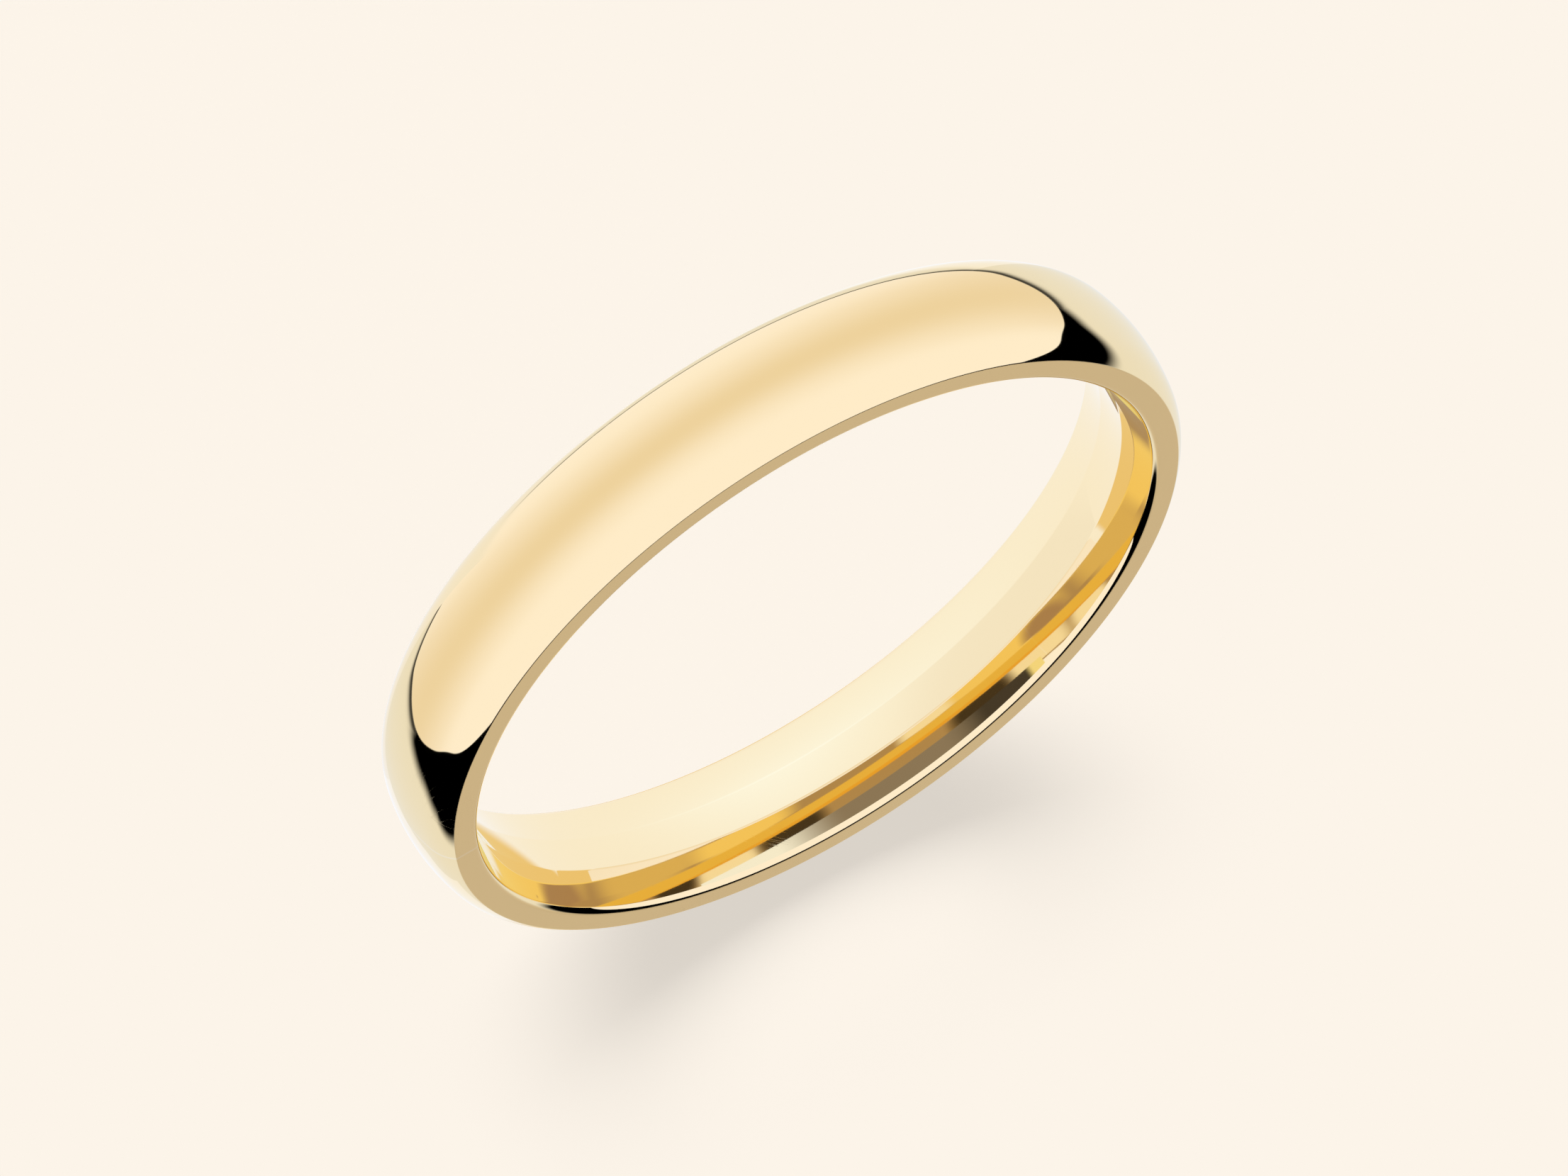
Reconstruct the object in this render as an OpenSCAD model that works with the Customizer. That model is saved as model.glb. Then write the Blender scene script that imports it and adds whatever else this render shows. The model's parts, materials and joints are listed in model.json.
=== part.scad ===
// Plain domed wedding band with an eased inside, standing on its edge.
// The finger goes through along Y. The origin is the middle of the finger opening.
// The band is one strip of gold, bent round and closed by a single soldered joint.

/* [Finger opening] */
// Inside diameter across the straight stretch, 53.5 mm round, an ISO size 53.5
bore_d = 17.04; // [14:0.02:23]
// Width of the straight stretch in the middle, where the finger bears
bore_land_w = 0.84; // [0.5:0.02:1.2]
// Angle of the slight crease at which the eased inside leaves the straight stretch
inside_start = 9.6; // [6:0.2:13]
// Radius of the rounding across the band, from that crease to each rim
inside_r = 12.0; // [8:0.5:16]

/* [Band] */
// Width of the band from rim to rim
band_w = 3.0; // [2.4:0.1:3.6]
// Thickness of the metal at the middle of the band
band_t = 1.31; // [1.1:0.01:1.8]
// How far the domed outside stands above the rims
outer_rise = 0.47; // [0.35:0.01:0.6]
// Radius of the gentle dome across the middle of the outside
dome_r = 4.0; // [3.3:0.1:6]
// Radius of the tighter shoulders between the dome and the rims
shoulder_r = 1.0; // [0.8:0.05:1.2]

/* [Edges] */
// Rounding of the edge between the outside and a rim
outer_edge_r = 0.06; // [0.04:0.01:0.1]
// Rounding of the edge between the inside and a rim
inner_edge_r = 0.17; // [0.06:0.01:0.22]

/* [Soldered joint] */
// Thickness of the solder that fills the joint
solder_t = 0.08; // [0.04:0.01:0.2]
// Place of the joint round the band, in degrees from +X towards +Z
solder_angle = 185; // [0:1:359]

/* [Hidden] */

bore_r = bore_d / 2;
crown_r = bore_r + band_t;
half_w = band_w / 2;
// Radius at which the outside would meet the rim if the edge were not rounded
rim_outer_r = crown_r - outer_rise;
// Circles that touch reach past each other by this hair, so that they always meet
touch = 0.00002;
// Angle that the solder takes up, measured at the crown of the outside
solder_span = 2 * asin(solder_t / 2 / crown_r);

// The cross-section is drawn as [distance from the finger axis, distance along it].
// Each round stretch is one circle, named by its centre and radius. Angles start at
// the direction away from the axis and turn towards the rim.

// The dome's centre is in the middle plane, and its top touches the crown.
dome_c = [crown_r - dome_r, 0];
// The shoulder touches the dome from inside and passes through the rim's outer corner.
to_corner = [rim_outer_r, half_w] - dome_c;
centre_gap = dome_r - shoulder_r + touch;
shoulder_turn = acos((centre_gap ^ 2 + norm(to_corner) ^ 2 - shoulder_r ^ 2)
    / (2 * centre_gap * norm(to_corner)));
shoulder_start = atan2(to_corner.y, to_corner.x) - shoulder_turn;
shoulder_c = dome_c + centre_gap * [cos(shoulder_start), sin(shoulder_start)];
// The eased inside starts on the straight stretch's end, turned by the crease.
land_end = [bore_r, bore_land_w / 2];
inside_c = land_end + inside_r * [cos(inside_start), -sin(inside_start)];
// Each edge rounding touches the rim and, from inside, the arc that it ends.
outer_edge_c = edge_centre(shoulder_c, shoulder_r, outer_edge_r, 1);
inner_edge_c = edge_centre(inside_c, inside_r, inner_edge_r, -1);

// Centre of a rounding of radius r inside the rim and inside the arc of radius arc_r.
// side is 1 on the outside of the band and -1 on its inside.
function edge_centre(arc_c, arc_r, r, side) =
    let (gap = arc_r - r + touch, up = half_w - r - arc_c.y)
    [arc_c.x + side * sqrt(gap ^ 2 - up ^ 2), half_w - r];

// Direction of the line from one point to another, in degrees.
function heading(from, to) = atan2(to.y - from.y, to.x - from.x);

// Waste beyond a circle, in the sector between two directions from its centre.
module waste(centre, r, start, end) {
    reach = 2 * band_w + 2 * r;
    difference() {
        translate(centre)
            polygon([
                [0, 0],
                reach * [cos(start), sin(start)],
                reach * [cos((start + end) / 2), sin((start + end) / 2)],
                reach * [cos(end), sin(end)]
            ]);
        translate(centre)
            circle(r = r, $fn = 720);
    }
}

// Waste round the two corners of one rim, and all along the eased inside next to it.
module rim_waste() {
    waste(shoulder_c, shoulder_r, shoulder_start, 90);
    waste(outer_edge_c, outer_edge_r, heading(shoulder_c, outer_edge_c), 90);
    waste(inside_c, inside_r, 90, 180);
    waste(inner_edge_c, inner_edge_r, 90, heading(inside_c, inner_edge_c));
}

// Cross-section of the band: domed outside, flat rims and an eased inside.
module section() {
    difference() {
        intersection() {
            translate([bore_r, -half_w])
                square([band_t, band_w]);
            translate(dome_c)
                circle(r = dome_r, $fn = 1440);
        }
        rim_waste();
        mirror([0, 1])
            rim_waste();
    }
}

// The cross-section carried round the finger axis, from one angle through another.
module sweep(start, span) {
    rotate([90, 0, 0])
        rotate([0, 0, start])
            rotate_extrude(angle = span, $fn = 360)
                section();
}

// The strip of gold, open by the thickness of the solder.
module band_shank() {
    color("#e0bf6e")
        sweep(solder_angle + solder_span / 2, 360 - solder_span);
}

// The thin wall of solder between the two ends of the strip.
module solder_seam() {
    color("#ead79c")
        sweep(solder_angle - solder_span / 2, solder_span);
}

band_shank();
solder_seam();
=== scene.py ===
"""Looks for a plain domed wedding band in polished yellow gold, standing on its edge."""
import json
import math

import bpy
import numpy as np
from mathutils import Matrix, Vector


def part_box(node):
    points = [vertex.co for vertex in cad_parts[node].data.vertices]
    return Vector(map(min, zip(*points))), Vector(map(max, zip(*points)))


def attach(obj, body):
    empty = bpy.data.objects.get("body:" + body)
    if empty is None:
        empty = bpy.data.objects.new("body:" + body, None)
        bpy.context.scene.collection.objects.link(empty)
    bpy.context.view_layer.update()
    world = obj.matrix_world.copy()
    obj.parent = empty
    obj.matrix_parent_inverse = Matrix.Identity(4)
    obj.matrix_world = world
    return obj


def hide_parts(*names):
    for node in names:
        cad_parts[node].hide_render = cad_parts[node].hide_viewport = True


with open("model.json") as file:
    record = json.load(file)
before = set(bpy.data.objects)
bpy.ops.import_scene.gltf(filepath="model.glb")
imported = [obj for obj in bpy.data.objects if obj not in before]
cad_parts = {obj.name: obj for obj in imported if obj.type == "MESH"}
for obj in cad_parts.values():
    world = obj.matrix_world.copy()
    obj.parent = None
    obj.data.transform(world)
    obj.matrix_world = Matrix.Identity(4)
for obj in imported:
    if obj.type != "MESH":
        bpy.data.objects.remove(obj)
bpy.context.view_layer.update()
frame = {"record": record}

MM = 0.001

# ---------------------------------------------------------------------------
# Sizes, in metres. Those read from the frame come first, and the rest repeat the design.
# ---------------------------------------------------------------------------
CROWN_R = min(abs(v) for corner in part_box("band_shank") for v in (corner.x, corner.z))
HALF_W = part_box("band_shank")[1].y
FLOOR_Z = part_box("band_shank")[0].z
SEAM_MIDDLE = (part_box("solder_seam")[0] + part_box("solder_seam")[1]) / 2

BORE_MOUNT = next(m for m in frame["record"]["mounts"] if m["name"] == "finger_bore")
BORE_R = BORE_MOUNT["dims"]["r_mm"] * MM
BORE_LAND_W = BORE_MOUNT["dims"]["length_mm"] * MM
INSIDE_R = 12.0 * MM
INSIDE_START = math.radians(9.6)
OUTER_RISE = 0.47 * MM
DOME_R = 4.0 * MM
SHOULDER_R = 1.0 * MM
OUTER_EDGE_R = 0.06 * MM
INNER_EDGE_R = 0.17 * MM
SOLDER_T = 0.08 * MM

SEAM_ANGLE = math.atan2(SEAM_MIDDLE.z, SEAM_MIDDLE.x)
SEAM_SPAN = 2 * math.asin(SOLDER_T / 2 / CROWN_R)

# Half the width over which polishing has blended the dome into each shoulder
BLEND = 0.25 * MM

# Steps of the mesh round the band, and across each stretch of its section
SHANK_STEPS = 480
SEAM_STEPS = 3
CURVE_STEPS = 20
INSIDE_STEPS = 16
OUTER_EDGE_STEPS = 5
INNER_EDGE_STEPS = 6
FLAT_STEPS = 3

# Directions across the picture, along the finger axis and up
ACROSS = (1.0, 0.0, 0.0)
ALONG = (0.0, 1.0, 0.0)
UPWARDS = (0.0, 0.0, 1.0)


# ---------------------------------------------------------------------------
# The band's cross-section: points as [distance from the finger axis, distance along it]
# ---------------------------------------------------------------------------
def heading(a, b):
    """Direction from one point of the section to another, in radians."""
    return math.atan2(b[1] - a[1], b[0] - a[0])


def edge_centre(arc_c, arc_r, r, side):
    """Centre of an edge rounding of radius r between the rim and an arc."""
    up = HALF_W - r - arc_c[1]
    return (arc_c[0] + side * math.sqrt((arc_r - r) ** 2 - up**2), HALF_W - r)


def arc(centre, r, start, end, steps):
    """Points of an arc with their outward normals, without its last point."""
    angles = np.linspace(start, end, steps, endpoint=False)
    normals = np.stack([np.cos(angles), np.sin(angles)], axis=1)
    return np.hstack([np.array(centre) + r * normals, normals])


def line(start, end, normal, steps):
    """Points of a straight stretch with their normal, without its last point."""
    share = np.linspace(0, 1, steps, endpoint=False)[:, None]
    points = np.array(start) * (1 - share) + np.array(end) * share
    return np.hstack([points, np.tile(normal, (steps, 1))])


def blended(rows, start, distance, reach):
    """The rows with their normals eased across the line between the dome and the shoulder.

    start is the normal's angle on that line, and distance is how far each row lies from it.
    """
    near = np.abs(distance) < reach
    flat, tight = 1 / DOME_R, 1 / SHOULDER_R
    eased = (flat + tight) / 2 * distance + (tight - flat) / (4 * reach) * (distance**2 + reach**2)
    angles = start + eased
    rows[near, 2] = np.cos(angles[near])
    rows[near, 3] = np.sin(angles[near])
    return rows


def half_section():
    """Half of the outline, from the crown of the dome over one rim to the bore."""
    dome_c = (CROWN_R - DOME_R, 0.0)
    corner = (CROWN_R - OUTER_RISE, HALF_W)
    reach = math.dist(dome_c, corner)
    gap = DOME_R - SHOULDER_R
    turn = math.acos((gap**2 + reach**2 - SHOULDER_R**2) / (2 * gap * reach))
    start = heading(dome_c, corner) - turn
    shoulder_c = (dome_c[0] + gap * math.cos(start), gap * math.sin(start))
    inside_c = (BORE_R + INSIDE_R * math.cos(INSIDE_START),
                BORE_LAND_W / 2 - INSIDE_R * math.sin(INSIDE_START))
    outer_c = edge_centre(shoulder_c, SHOULDER_R, OUTER_EDGE_R, 1)
    inner_c = edge_centre(inside_c, INSIDE_R, INNER_EDGE_R, -1)
    outer_turn = heading(shoulder_c, outer_c)
    inner_turn = heading(inside_c, inner_c)
    rim_out = (outer_c[0], HALF_W)
    rim_in = (inner_c[0], HALF_W)
    land_end = (BORE_R, BORE_LAND_W / 2)
    land_middle = (BORE_R, 0.0)
    quarter = math.pi / 2
    dome_way = np.linspace(-start, 0, CURVE_STEPS, endpoint=False) * DOME_R
    shoulder_way = np.linspace(0, outer_turn - start, CURVE_STEPS, endpoint=False) * SHOULDER_R
    dome = arc(dome_c, DOME_R, 0, start, CURVE_STEPS)
    shoulder = arc(shoulder_c, SHOULDER_R, start, outer_turn, CURVE_STEPS)
    return np.vstack([
        blended(dome, start, dome_way, BLEND),
        blended(shoulder, start, shoulder_way, BLEND),
        arc(outer_c, OUTER_EDGE_R, outer_turn, quarter, OUTER_EDGE_STEPS),
        line(rim_out, rim_in, (0.0, 1.0), FLAT_STEPS),
        arc(inner_c, INNER_EDGE_R, quarter, inner_turn, INNER_EDGE_STEPS),
        arc(inside_c, INSIDE_R, inner_turn, math.pi - INSIDE_START, INSIDE_STEPS),
        line(land_end, land_middle, (-1.0, 0.0), FLAT_STEPS),
        [[BORE_R, 0.0, -1.0, 0.0]],
    ])


def section():
    """The whole closed outline, as rows of [radius, along, normal radius, normal along]."""
    half = half_section()
    mirrored = half[-2:0:-1] * np.array([1, -1, 1, -1])
    return np.vstack([half, mirrored])


# ---------------------------------------------------------------------------
# Meshes
# ---------------------------------------------------------------------------
def sweep(name, start, span, steps):
    """The section carried round the finger axis, closed at both ends."""
    outline = section()
    count = len(outline)
    turns = start + np.linspace(0, span, steps + 1)
    cos, sin = np.cos(turns)[:, None], np.sin(turns)[:, None]
    r, y, nr, ny = outline.T
    points = np.stack([r * cos, np.broadcast_to(y, (len(turns), count)), r * sin], axis=2)
    normals = np.stack([nr * cos, np.broadcast_to(ny, (len(turns), count)), nr * sin], axis=2)

    faces = []
    for i in range(steps):
        for j in range(count):
            k = (j + 1) % count
            faces.append((i * count + j, i * count + k,
                          (i + 1) * count + k, (i + 1) * count + j))
    side_faces = len(faces)
    last = steps * count
    faces.append(tuple(reversed(range(count))))
    faces.append(tuple(range(last, last + count)))

    mesh = bpy.data.meshes.new(name)
    mesh.from_pydata(points.reshape(-1, 3).tolist(), [], faces)
    mesh.validate()
    mesh.update()
    for polygon in mesh.polygons:
        polygon.use_smooth = True
    flat = normals.reshape(-1, 3)
    loop_normals = []
    for polygon in mesh.polygons:
        cap = polygon.index >= side_faces
        for loop in polygon.loop_indices:
            vertex = mesh.loops[loop].vertex_index
            loop_normals.append(tuple(polygon.normal) if cap else tuple(flat[vertex]))
    mesh.normals_split_custom_set(loop_normals)
    piece = bpy.data.objects.new(name, mesh)
    bpy.context.scene.collection.objects.link(piece)
    return piece


# ---------------------------------------------------------------------------
# Node helpers
# ---------------------------------------------------------------------------
class Nodes:
    """Short names for the nodes that the shaders use. Every method returns a socket."""

    def __init__(self, tree):
        self.tree = tree
        tree.nodes.clear()

    def add(self, kind):
        return self.tree.nodes.new(kind)

    def put(self, socket, value):
        if isinstance(value, bpy.types.NodeSocket):
            self.tree.links.new(value, socket)
        else:
            socket.default_value = value

    def maths(self, operation, a, b=0.0, clamp=False):
        node = self.add("ShaderNodeMath")
        node.operation = operation
        node.use_clamp = clamp
        self.put(node.inputs[0], a)
        self.put(node.inputs[1], b)
        return node.outputs[0]

    def dot(self, vector, axis):
        node = self.add("ShaderNodeVectorMath")
        node.operation = "DOT_PRODUCT"
        self.put(node.inputs[0], vector)
        self.put(node.inputs[1], axis)
        return node.outputs["Value"]

    def vector(self, operation, a, b):
        node = self.add("ShaderNodeVectorMath")
        node.operation = operation
        self.put(node.inputs[0], a)
        self.put(node.inputs[1], b)
        return node.outputs["Vector"]

    def scaled(self, vector, factors):
        return self.vector("MULTIPLY", vector, factors)

    def moved(self, vector, origin):
        return self.vector("SUBTRACT", vector, origin)

    def length(self, vector):
        node = self.add("ShaderNodeVectorMath")
        node.operation = "LENGTH"
        self.put(node.inputs[0], vector)
        return node.outputs["Value"]

    def turned(self, vector, angles, shift):
        node = self.add("ShaderNodeMapping")
        self.put(node.inputs["Vector"], vector)
        node.inputs["Rotation"].default_value = angles
        node.inputs["Location"].default_value = (shift, shift, shift)
        return node.outputs["Vector"]

    def noise(self, vector, scale, detail):
        node = self.add("ShaderNodeTexNoise")
        self.put(node.inputs["Vector"], vector)
        node.inputs["Scale"].default_value = scale
        node.inputs["Detail"].default_value = detail
        return node.outputs[0]

    def total(self, parts):
        """The sum of values, each times its weight."""
        result = 0.0
        for value, weight in parts:
            result = self.maths("ADD", result, self.maths("MULTIPLY", value, weight))
        return result

    def bump(self, height, distance):
        node = self.add("ShaderNodeBump")
        self.put(node.inputs["Height"], height)
        node.inputs["Distance"].default_value = distance
        return node.outputs["Normal"]

    def ramp(self, value, low, high):
        """0 below low and 1 above high, with a smooth rise between them."""
        node = self.add("ShaderNodeMapRange")
        node.interpolation_type = "SMOOTHSTEP"
        self.put(node.inputs["Value"], value)
        node.inputs["From Min"].default_value = low
        node.inputs["From Max"].default_value = high
        return node.outputs["Result"]

    def bell(self, value, middle, width):
        """1 where the value is at the middle, falling away over the width."""
        offset = self.maths("DIVIDE", self.maths("SUBTRACT", value, middle), width)
        square = self.maths("MULTIPLY", offset, offset)
        return self.maths("EXPONENT", self.maths("MULTIPLY", square, -1.0))

    def mix(self, share, a, b):
        node = self.add("ShaderNodeMix")
        node.data_type = "RGBA"
        self.put(node.inputs["Factor"], share)
        self.put(node.inputs[6], a)
        self.put(node.inputs[7], b)
        return node.outputs[2]


# ---------------------------------------------------------------------------
# Materials
# ---------------------------------------------------------------------------
def gold(name, colour, rim_roughness):
    """Polished gold with fine polishing lines, stray scratches, soft waves and worn edges."""
    material = bpy.data.materials.new(name)
    material.use_nodes = True
    nodes = Nodes(material.node_tree)
    shader = nodes.add("ShaderNodeBsdfPrincipled")
    shader.inputs["Metallic"].default_value = 1.0
    shader.inputs["Base Color"].default_value = (*colour, 1)
    output = nodes.add("ShaderNodeOutputMaterial")
    nodes.put(output.inputs["Surface"], shader.outputs["BSDF"])
    place = nodes.add("ShaderNodeTexCoord").outputs["Object"]
    along = nodes.dot(place, ALONG)
    away = nodes.length(nodes.scaled(place, (1.0, 0.0, 1.0)))
    depth = nodes.maths("ABSOLUTE", along)
    rim = nodes.ramp(depth, HALF_W - 0.012 * MM, HALF_W - 0.002 * MM)
    edge = nodes.ramp(depth, HALF_W - 0.11 * MM, HALF_W - 0.02 * MM)

    lines = polishing_lines(nodes, along, away)
    patches = nodes.noise(place, 400, 3)
    scratches = stray_scratches(nodes, place)
    nick = small_nick(nodes, place)
    rough = nodes.total([
        (0.022, 1.0),
        (rim, rim_roughness),
        (nodes.maths("MULTIPLY", rim, lines), 0.06),
        (nodes.maths("MULTIPLY", edge, patches), 0.03),
        (nodes.maths("MULTIPLY", lines, patches), 0.018),
        (scratches, 0.10),
        (nick, 0.25),
    ])
    nodes.put(shader.inputs["Roughness"], rough)

    waves = nodes.noise(place, 260, 1)
    height = nodes.total([
        (waves, 1.1),
        (lines, 0.012),
        (nodes.maths("MULTIPLY", rim, lines), 0.07),
        (scratches, -0.10),
        (nick, -1.5),
    ])
    nodes.put(shader.inputs["Normal"], nodes.bump(height, 0.001 * MM))
    return material


def polishing_lines(nodes, along, away):
    """Fine lines that run round the band, as a polishing wheel leaves them."""
    spot = nodes.add("ShaderNodeCombineXYZ")
    nodes.put(spot.inputs[0], along)
    nodes.put(spot.inputs[1], away)
    return nodes.noise(spot.outputs[0], 26000, 4)


def stray_scratches(nodes, place):
    """Sparse hairline scratches in two directions, broken up into short lengths."""
    parts = []
    for turn, seed in ((0.5, 3.0), (-0.9, 11.0)):
        turned = nodes.turned(place, (0.3, turn, 0.8), seed)
        lines = nodes.noise(nodes.scaled(turned, (1.0, 24.0, 1.0)), 420, 0)
        thin = nodes.bell(lines, 0.5, 0.006)
        where = nodes.ramp(nodes.noise(turned, 330, 2), 0.60, 0.68)
        parts.append(nodes.maths("MULTIPLY", thin, where))
    return nodes.maths("MAXIMUM", parts[0], parts[1])


def small_nick(nodes, place):
    """One tiny nick inside the front edge, at the lower left."""
    turn = math.radians(214)
    away, along, reach = 8.72 * MM, -1.27 * MM, 0.05 * MM
    middle = (away * math.cos(turn), along, away * math.sin(turn))
    return nodes.bell(nodes.length(nodes.moved(place, middle)), 0.0, reach)


# ---------------------------------------------------------------------------
# Studio
# ---------------------------------------------------------------------------
TENT = (1.0, 1.02, 1.15, 1)
STRIPE = (0.855, 0.785, 0.67, 1)
FRONT_TABLE = (0.62, 0.55, 0.45, 1)
FRONT_AXIS = Vector((0.26, -0.42, -0.867)).normalized()
GAP = (0.0, 0.0, 0.0, 1)
TABLE = (0.845, 0.87, 0.9, 1)
TENT_AXIS = Vector((-0.231, -0.057, 0.971)).normalized()
TABLE_AXIS = Vector((-0.274, -0.213, 0.938)).normalized()
BROWN = (0.43, 0.35, 0.26, 1)
UMBER = (0.40, 0.31, 0.26, 1)
TAWNY = (0.70, 0.60, 0.32, 1)
AMBER = (0.90, 0.80, 0.38, 1)
PALE = (0.92, 1.0, 1.15, 1)
DARK = (0.06, 0.05, 0.04, 1)
GLINT = (0.80, 0.76, 0.34, 1)
GREY = (0.26, 0.22, 0.18, 1)


# A height is the sine of a direction's angle above the plane across an axis.
# The tent's lower edge, and half of its blur
TENT_EDGE = -0.265
TENT_BLUR = 0.003
# Heights over which the gap gives way to the table, and sides over which it closes
TABLE_EDGE = (-0.64, -0.54)
GAP_SIDES = (0.52, 0.40)
# The thin dark line below the tent's edge: its height, width and darkness
LINE_HEIGHT, LINE_WIDTH, LINE_DARKNESS = -0.280, 0.035, 0.95
# The stripe along the tent: where it lies and its width
STRIPE_SIDE, STRIPE_WIDTH = 0.46, 0.27
# How near the front axis the table turns from its plain to its front colour
FRONT_EDGE = (0.82, 0.96)


def tent_height(nodes, ray, side):
    """A direction's height along the tent's axis, raised where the tent bulges down."""
    bulge = nodes.maths("MULTIPLY", nodes.bell(side, 0.44, 0.28), 0.175)
    return nodes.maths("ADD", nodes.dot(ray, tuple(TENT_AXIS)), bulge)


def table_height(nodes, ray, side):
    """A direction's height along the table's axis, with the table's edge bent at two places."""
    rise = nodes.maths("MULTIPLY", nodes.bell(side, 0.5, 0.18), 0.06)
    height = nodes.maths("SUBTRACT", nodes.dot(ray, tuple(TABLE_AXIS)), rise)
    left = nodes.maths("MINIMUM", nodes.dot(ray, ACROSS), 0.0)
    low = nodes.maths("MULTIPLY", nodes.maths("MINIMUM", side, 0.0), 0.55)
    return nodes.maths("ADD", height, nodes.maths("MULTIPLY", left, low))


def dark_gap(nodes, ray, side, height):
    """How much of the dark gap shows: a wedge over the table, and a line under the tent."""
    above_table = nodes.ramp(table_height(nodes, ray, side), *TABLE_EDGE)
    wedge = nodes.maths("MULTIPLY", above_table, nodes.ramp(side, *GAP_SIDES))
    line = nodes.maths("MULTIPLY", nodes.bell(height, LINE_HEIGHT, LINE_WIDTH), LINE_DARKNESS)
    return nodes.maths("MAXIMUM", wedge, line)


def outer_studio(nodes, ray, side):
    """What the band's outside reflects: a soft tent over a pale table, and a dark gap."""
    tent = nodes.mix(nodes.bell(side, STRIPE_SIDE, STRIPE_WIDTH), TENT, STRIPE)
    front = nodes.ramp(nodes.dot(ray, tuple(FRONT_AXIS)), *FRONT_EDGE)
    table = nodes.mix(front, TABLE, FRONT_TABLE)
    height = tent_height(nodes, ray, side)
    below = nodes.mix(dark_gap(nodes, ray, side, height), table, GAP)
    in_tent = nodes.ramp(height, TENT_EDGE - TENT_BLUR, TENT_EDGE + TENT_BLUR)
    return nodes.mix(in_tent, below, tent)


# Soft round patches of the inner studio, each laid over those before it: its direction,
# its spread as 1 less the cosine of its angle, and its colour
BACK_PATCHES = [
    ((0.84, 0.52, 0.15), 0.45, AMBER),
    ((-0.42, 0.42, 0.80), 0.26, TAWNY),
    ((-0.9, 0.40, -0.1), 0.22, AMBER),
    ((0.62, 0.40, -0.68), 0.07, PALE),
    ((0.67, 0.30, 0.67), 0.08, UMBER),
]
FRONT_PATCHES = [
    ((0.8, -0.30, 0.45), 0.12, PALE),
    ((-0.93, -0.33, 0.15), 0.09, PALE),
    ((0.25, -0.33, 0.90), 0.06, PALE),
    ((0.89, -0.40, -0.24), 0.10, DARK),
    ((-0.77, -0.35, -0.54), 0.10, DARK),
    ((-0.7, -0.17, 0.7), 0.06, DARK),
]


def patched(nodes, ray, base, patches):
    """A base colour with soft round patches laid over it."""
    for axis, spread, colour in patches:
        towards = nodes.dot(ray, tuple(Vector(axis).normalized()))
        base = nodes.mix(nodes.ramp(towards, 1 - spread, 1 - spread / 4), base, colour)
    return base


def inner_studio(nodes, ray, side):
    """What light meets after two bounces inside the band: the dim side of the room."""
    back = patched(nodes, ray, BROWN, BACK_PATCHES)
    front = patched(nodes, ray, BROWN, FRONT_PATCHES)
    return nodes.mix(nodes.ramp(side, -0.04, 0.04), front, back)


# Ray depths that part first, second and later reflections. The world counts one more
# than the surfaces do.
CARD_FIRST = 1.5
WORLD_FIRST = 2.5
WORLD_SECOND = 3.5


def studio_world():
    """A studio that depends on the direction, and on how often the light has bounced."""
    world = bpy.data.worlds.new("studio")
    bpy.context.scene.world = world
    world.use_nodes = True
    nodes = Nodes(world.node_tree)
    ray = nodes.add("ShaderNodeTexCoord").outputs["Generated"]
    side = nodes.dot(ray, ALONG)
    bounces = nodes.add("ShaderNodeLightPath").outputs["Ray Depth"]
    inner = nodes.mix(nodes.maths("GREATER_THAN", bounces, WORLD_SECOND),
                      inner_studio(nodes, ray, side), GLINT)
    colour = nodes.mix(nodes.maths("GREATER_THAN", bounces, WORLD_FIRST),
                       outer_studio(nodes, ray, side), inner)
    background = nodes.add("ShaderNodeBackground")
    nodes.put(background.inputs["Color"], colour)
    output = nodes.add("ShaderNodeOutputWorld")
    nodes.put(output.inputs["Surface"], background.outputs["Background"])
    world.cycles_visibility.diffuse = False
    world.cycles_visibility.camera = True


SOFT_WHITE = (0.95, 0.99, 1.10, 1)
SHADED_WHITE = (0.91, 0.94, 1.03, 1)
# Painted warm light reflected from the gold, glowing on the paper cards close to the band
PAINTED_GOLD_BOUNCE = (0.84, 0.65, 0.30, 1)
BRIGHT_WHITE = (1.0, 1.16, 1.5, 1)
CARD_SIDE = 11 * MM
CARD_BACK = 6 * MM
CARD_TOP = 7 * MM


def card(name, corners):
    """A flat card that only the metal's first reflections show.

    Returns its nodes and the sockets for its colour and its cover.
    """
    mesh = bpy.data.meshes.new(name)
    mesh.from_pydata(corners, [], [tuple(range(len(corners)))])
    piece = bpy.data.objects.new(name, mesh)
    bpy.context.scene.collection.objects.link(piece)
    material = bpy.data.materials.new(name)
    material.use_nodes = True
    nodes = Nodes(material.node_tree)
    glow = nodes.add("ShaderNodeEmission")
    clear = nodes.add("ShaderNodeBsdfTransparent")
    both = nodes.add("ShaderNodeMixShader")
    bounces = nodes.add("ShaderNodeLightPath").outputs["Ray Depth"]
    first = nodes.maths("LESS_THAN", bounces, CARD_FIRST)
    cover = nodes.add("ShaderNodeMath")
    cover.operation = "MULTIPLY"
    cover.inputs[1].default_value = 1.0
    nodes.put(cover.inputs[0], first)
    nodes.put(both.inputs[0], cover.outputs[0])
    nodes.put(both.inputs[1], clear.outputs[0])
    nodes.put(both.inputs[2], glow.outputs[0])
    output = nodes.add("ShaderNodeOutputMaterial")
    nodes.put(output.inputs["Surface"], both.outputs[0])
    mesh.materials.append(material)
    piece.visible_camera = False
    piece.visible_diffuse = False
    piece.visible_shadow = False
    return nodes, glow.inputs["Color"], cover.inputs[1]


def card_place(nodes, axis):
    """How far a card's points lie along an axis, as a socket."""
    return nodes.dot(nodes.add("ShaderNodeTexCoord").outputs["Object"], axis)


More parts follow.
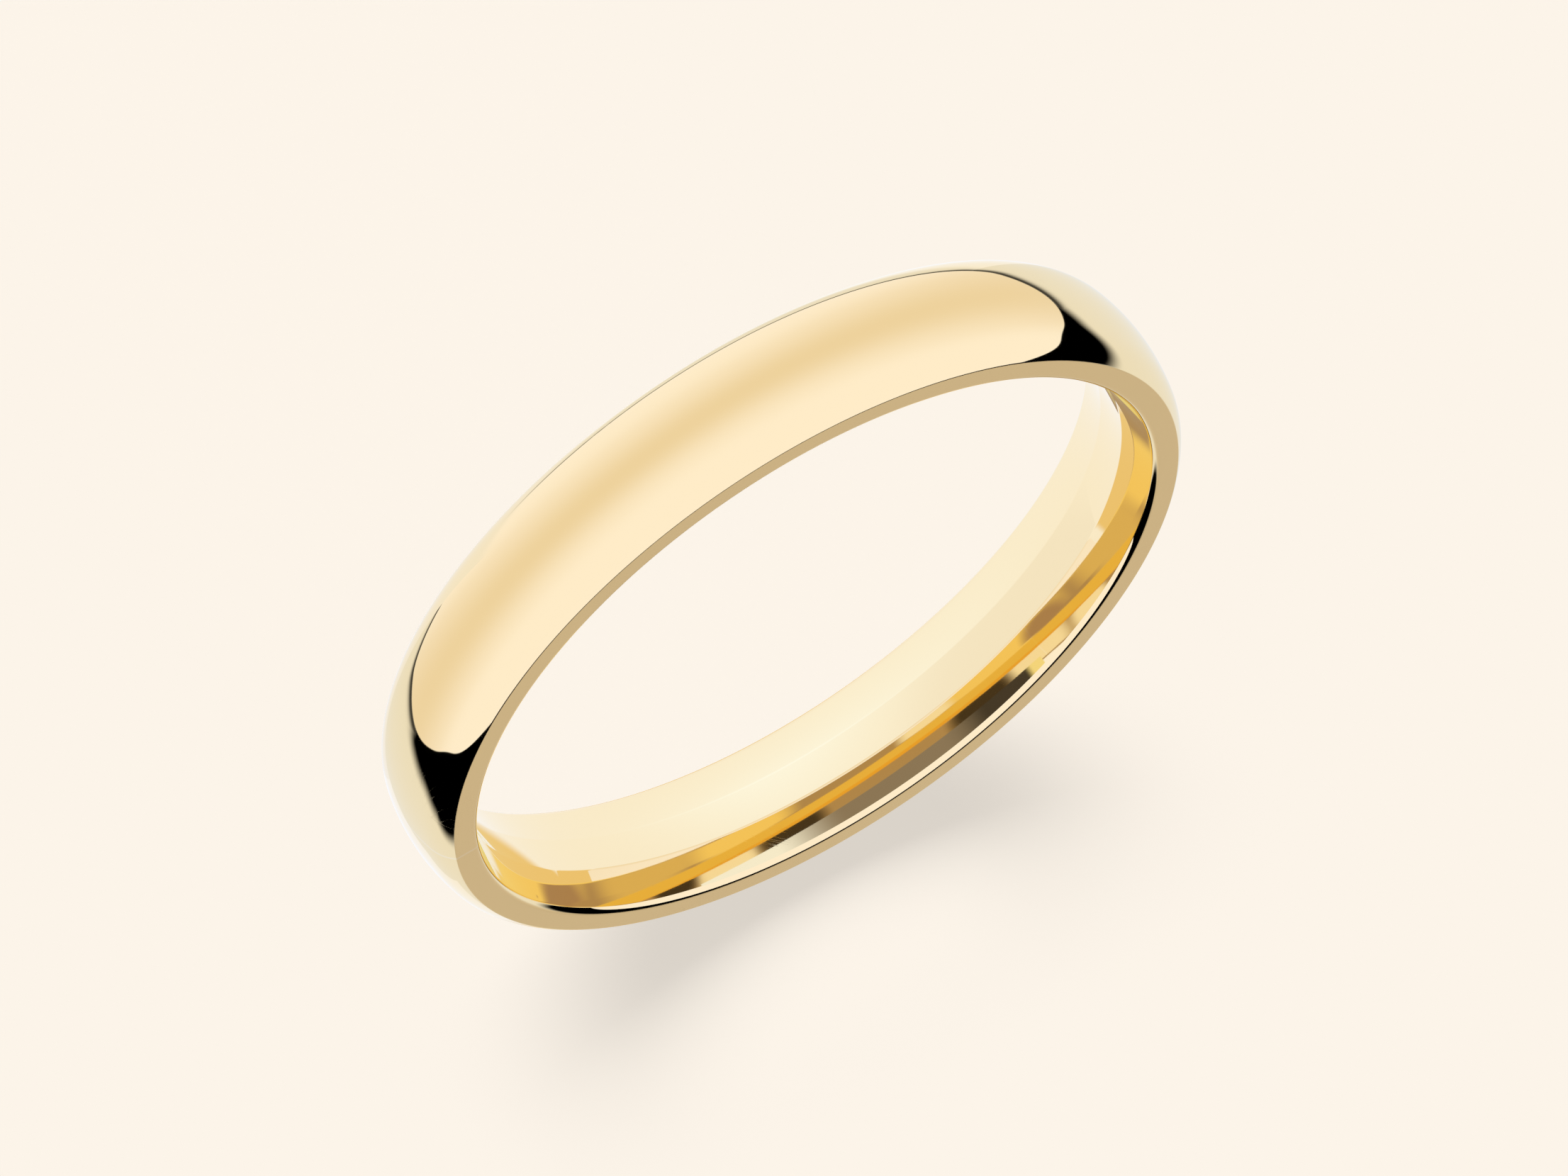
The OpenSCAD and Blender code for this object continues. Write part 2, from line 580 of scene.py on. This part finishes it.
def near_paper():
    """Paper on the floor under and behind the band: painted amber light reflected from the gold
    close to it, then white.
    """
    near, z = -1.2 * MM, FLOOR_Z + 0.01 * MM
    nodes, colour, _ = card("near_paper", [(-CARD_SIDE, near, z), (CARD_SIDE, near, z),
                                          (CARD_SIDE, CARD_BACK, z),
                                          (-CARD_SIDE, CARD_BACK, z)])
    beside = nodes.ramp(card_place(nodes, ACROSS), -6 * MM, -8 * MM)
    behind = nodes.ramp(card_place(nodes, ALONG), 3.6 * MM, 4.3 * MM)
    edge = nodes.maths("MAXIMUM", beside, behind)
    # Painted amber reflected light near the band, white paper farther off
    nodes.put(colour, nodes.mix(edge, PAINTED_GOLD_BOUNCE, SOFT_WHITE))


def side_card():
    """A low card at the right end of the paper, painted amber with light reflected from the gold
    near the band, then white.
    """
    near, top = 1.5 * MM, FLOOR_Z + 3.5 * MM
    nodes, colour, _ = card("side_card", [(CARD_SIDE, near, FLOOR_Z),
                                          (CARD_SIDE, CARD_BACK, FLOOR_Z),
                                          (CARD_SIDE, CARD_BACK, top),
                                          (CARD_SIDE, near, top)])
    edge = nodes.ramp(card_place(nodes, ALONG), 4.4 * MM, 5.4 * MM)
    # Painted amber reflected light near the band, white paper farther off
    nodes.put(colour, nodes.mix(edge, PAINTED_GOLD_BOUNCE, SOFT_WHITE))


def white_card():
    """A white card that stands close behind the band and brightens its inside."""
    nodes, colour, cover = card("white_card", [(-CARD_SIDE, CARD_BACK, FLOOR_Z),
                                               (CARD_SIDE, CARD_BACK, FLOOR_Z),
                                               (CARD_SIDE, CARD_BACK, CARD_TOP),
                                               (-CARD_SIDE, CARD_BACK, CARD_TOP)])
    across, height = card_place(nodes, ACROSS), card_place(nodes, UPWARDS)
    spot = nodes.maths("MULTIPLY", nodes.bell(across, 2.4 * MM, 4.5 * MM),
                       nodes.bell(height, 0.5 * MM, 5 * MM))
    shade = nodes.ramp(across, -1 * MM, -5 * MM)
    white = nodes.mix(shade, SOFT_WHITE, SHADED_WHITE)
    nodes.put(colour, nodes.mix(spot, white, BRIGHT_WHITE))
    nodes.put(cover, nodes.ramp(height, CARD_TOP, CARD_TOP - 1.5 * MM))


def flag():
    """A small graded card in front of the opening, which only the inside shows."""
    left, right, front, back, z = -4.5 * MM, 5 * MM, -2.4 * MM, -1.15 * MM, -2 * MM
    nodes, colour, _ = card("flag", [(left, front, z), (right, front, z),
                                     (right, back, z), (left, back, z)])
    across = card_place(nodes, ACROSS)
    grey = nodes.mix(nodes.ramp(across, -0.9 * MM, 0.1 * MM), DARK, GREY)
    light = nodes.mix(nodes.ramp(across, 1.3 * MM, 2.4 * MM), grey, PALE)
    nodes.put(colour, nodes.mix(nodes.ramp(across, -3.4 * MM, -2.8 * MM), AMBER, light))


def cards():
    near_paper()
    side_card()
    white_card()
    flag()


FLOOR_COLOUR = (0.974, 0.905, 0.815)
FLOOR_SHADE = 0.8
FLOOR_HALF = 0.7
BACKDROP_R = 0.62
# The share of the floor's light that comes from the key light, and where it fades out
SHADOW_SHARE = 0.28
SHADOW_NEAR = -1.5 * MM
SHADOW_FAR = -8 * MM
SHADOW_MIDDLE = 4 * MM
SHADOW_SIDE = 11 * MM


def floor():
    """A pale floor that gives off most of its own light, so that shadows stay light.

    It takes the key light only near the band, and the metal doesn't reflect it.
    """
    mesh = bpy.data.meshes.new("floor")
    mesh.from_pydata([(-FLOOR_HALF, -FLOOR_HALF, FLOOR_Z), (FLOOR_HALF, -FLOOR_HALF, FLOOR_Z),
                      (FLOOR_HALF, FLOOR_HALF, FLOOR_Z), (-FLOOR_HALF, FLOOR_HALF, FLOOR_Z)],
                     [], [(0, 1, 2, 3)])
    piece = bpy.data.objects.new("floor", mesh)
    bpy.context.scene.collection.objects.link(piece)
    material = bpy.data.materials.new("floor")
    material.use_nodes = True
    nodes = Nodes(material.node_tree)
    place = nodes.add("ShaderNodeTexCoord").outputs["Object"]
    across = nodes.maths("ABSOLUTE", nodes.dot(place, ACROSS))
    along = nodes.dot(place, ALONG)
    lit = nodes.maths("MULTIPLY", nodes.ramp(along, SHADOW_FAR, SHADOW_NEAR),
                      nodes.ramp(across, SHADOW_SIDE, SHADOW_MIDDLE))
    shader = nodes.add("ShaderNodeBsdfDiffuse")
    nodes.put(shader.inputs["Color"], nodes.mix(lit, GAP, (*[FLOOR_SHADE] * 3, 1)))
    glow = nodes.add("ShaderNodeEmission")
    glow.inputs["Color"].default_value = (*FLOOR_COLOUR, 1)
    nodes.put(glow.inputs["Strength"],
              nodes.maths("SUBTRACT", 1.0, nodes.maths("MULTIPLY", lit, SHADOW_SHARE)))
    both = nodes.add("ShaderNodeAddShader")
    nodes.put(both.inputs[0], shader.outputs[0])
    nodes.put(both.inputs[1], glow.outputs[0])
    output = nodes.add("ShaderNodeOutputMaterial")
    nodes.put(output.inputs["Surface"], both.outputs[0])
    mesh.materials.append(material)
    piece.visible_glossy = False
    piece.visible_diffuse = False


def backdrop():
    """A dome of the floor's colour, which only the camera sees, behind every view."""
    rings, turns, r = 24, 48, BACKDROP_R
    points = [(r * math.sin(math.pi * i / rings) * math.cos(2 * math.pi * j / turns),
               r * math.sin(math.pi * i / rings) * math.sin(2 * math.pi * j / turns),
               r * math.cos(math.pi * i / rings))
              for i in range(1, rings) for j in range(turns)]
    faces = [(i * turns + j, i * turns + (j + 1) % turns,
              (i + 1) * turns + (j + 1) % turns, (i + 1) * turns + j)
             for i in range(rings - 2) for j in range(turns)]
    faces.append(tuple(range(turns)))
    faces.append(tuple(range((rings - 2) * turns, (rings - 1) * turns)))
    mesh = bpy.data.meshes.new("backdrop")
    mesh.from_pydata(points, [], faces)
    piece = bpy.data.objects.new("backdrop", mesh)
    bpy.context.scene.collection.objects.link(piece)
    material = bpy.data.materials.new("backdrop")
    material.use_nodes = True
    nodes = Nodes(material.node_tree)
    glow = nodes.add("ShaderNodeEmission")
    glow.inputs["Color"].default_value = (*FLOOR_COLOUR, 1)
    output = nodes.add("ShaderNodeOutputMaterial")
    nodes.put(output.inputs["Surface"], glow.outputs[0])
    mesh.materials.append(material)
    piece.visible_glossy = False
    piece.visible_diffuse = False
    piece.visible_shadow = False


def key_light():
    """One broad soft light from behind and above, which draws the shadow."""
    towards = Vector((0.17, 0.687, 0.707)).normalized()
    light = bpy.data.lights.new("key", "SUN")
    light.angle = math.radians(50)
    light.color = FLOOR_COLOUR
    light.energy = SHADOW_SHARE / FLOOR_SHADE * math.pi / towards.z
    lamp = bpy.data.objects.new("key", light)
    lamp.rotation_mode = "QUATERNION"
    lamp.rotation_quaternion = towards.to_track_quat("Z", "Y")
    lamp.visible_glossy = False
    bpy.context.scene.collection.objects.link(lamp)


# ---------------------------------------------------------------------------
# Camera
# ---------------------------------------------------------------------------
CAMERA_AZIMUTH = math.radians(-31.30)
CAMERA_ELEVATION = math.radians(59.92)
CAMERA_DISTANCE = 312.3 * MM
CAMERA_LENS = 324.2
CAMERA_RISE = 0.243 * MM


def camera():
    """Looks down on the band from its front left, a little above its middle."""
    a, e = CAMERA_AZIMUTH, CAMERA_ELEVATION
    back = Vector((math.sin(a) * math.cos(e), -math.cos(a) * math.cos(e), math.sin(e)))
    right = Vector((math.cos(a), math.sin(a), 0))
    up = back.cross(right)
    place = up * CAMERA_RISE + back * CAMERA_DISTANCE
    data = bpy.data.cameras.new("camera")
    data.sensor_width = 36
    data.lens = CAMERA_LENS
    data.clip_start = 10 * MM
    data.clip_end = 5
    eye = bpy.data.objects.new("camera", data)
    axes = Matrix((right, up, back)).transposed()
    eye.matrix_world = Matrix.Translation(place) @ axes.to_4x4()
    bpy.context.scene.collection.objects.link(eye)
    bpy.context.scene.camera = eye


def show():
    """Plain colour reproduction, and enough bounces for the inside of the band."""
    scene = bpy.context.scene
    scene.view_settings.view_transform = "Standard"
    scene.cycles.max_bounces = 16
    scene.cycles.glossy_bounces = 16
    scene.cycles.caustics_reflective = False


# ---------------------------------------------------------------------------
# The object
# ---------------------------------------------------------------------------
shank = sweep("band_strip", SEAM_ANGLE + SEAM_SPAN / 2, 2 * math.pi - SEAM_SPAN, SHANK_STEPS)
shank.data.materials.append(gold("polished_gold", (1.0, 0.82, 0.50), 0.15))
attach(shank, "root")
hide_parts("band_shank")

seam = sweep("solder_line", SEAM_ANGLE - SEAM_SPAN / 2, SEAM_SPAN, SEAM_STEPS)
seam.data.materials.append(gold("solder", (1.0, 0.86, 0.62), 0.12))
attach(seam, "root")
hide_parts("solder_seam")

camera()
studio_world()
floor()
backdrop()
cards()
key_light()
show()
